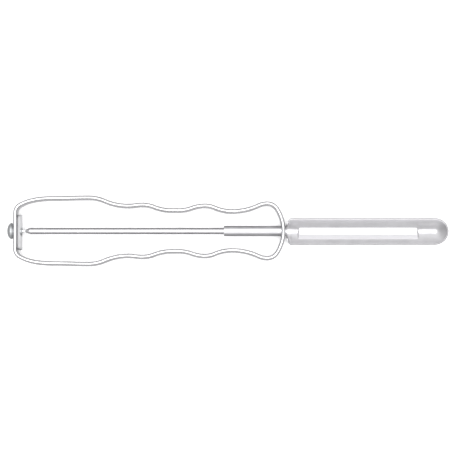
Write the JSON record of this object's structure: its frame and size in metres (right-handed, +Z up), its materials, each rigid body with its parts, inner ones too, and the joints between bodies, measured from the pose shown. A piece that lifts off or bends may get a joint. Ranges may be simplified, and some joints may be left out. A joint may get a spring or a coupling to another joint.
{
  "type": "swivel vegetable peeler",
  "caption": "Swivel vegetable peeler with a looped flat-wire handle, a pivot rod held by a rivet at the rear, and a slotted trough blade that turns freely.",
  "frame": {"origin": "middle of the overall length and width, at the lower edge of the handle, which is the face it rests on", "axes": "+X along the pivot rod towards the blade's tip, +Z up out of the plane of the loop, on the side that the trough of the blade opens to"},
  "size_m": [0.1954, 0.0312, 0.009],
  "materials": {
    "handle_steel": "polished stainless flat wire",
    "bracket_steel": "pressed stainless sheet, lightly brushed",
    "rivet_steel": "rolled steel, duller than the handle",
    "rod_steel": "bright drawn rod",
    "blade_steel": "rolled blade strip with a satin ground bevel beside the slot"
  },
  "bodies": {
    "handle": {"handle_band": "handle_steel", "rear_bracket": "bracket_steel", "rear_rivet": "rivet_steel"},
    "swivel": {"pivot_rod": "rod_steel", "blade": "blade_steel"}
  },
  "joints": [
    {"name": "blade_swivel", "type": "hinge", "parent": "handle", "child": "swivel", "pos_m": [0, 0, 0.0045], "axis": [1, 0, 0], "continuous": true}
  ]
}
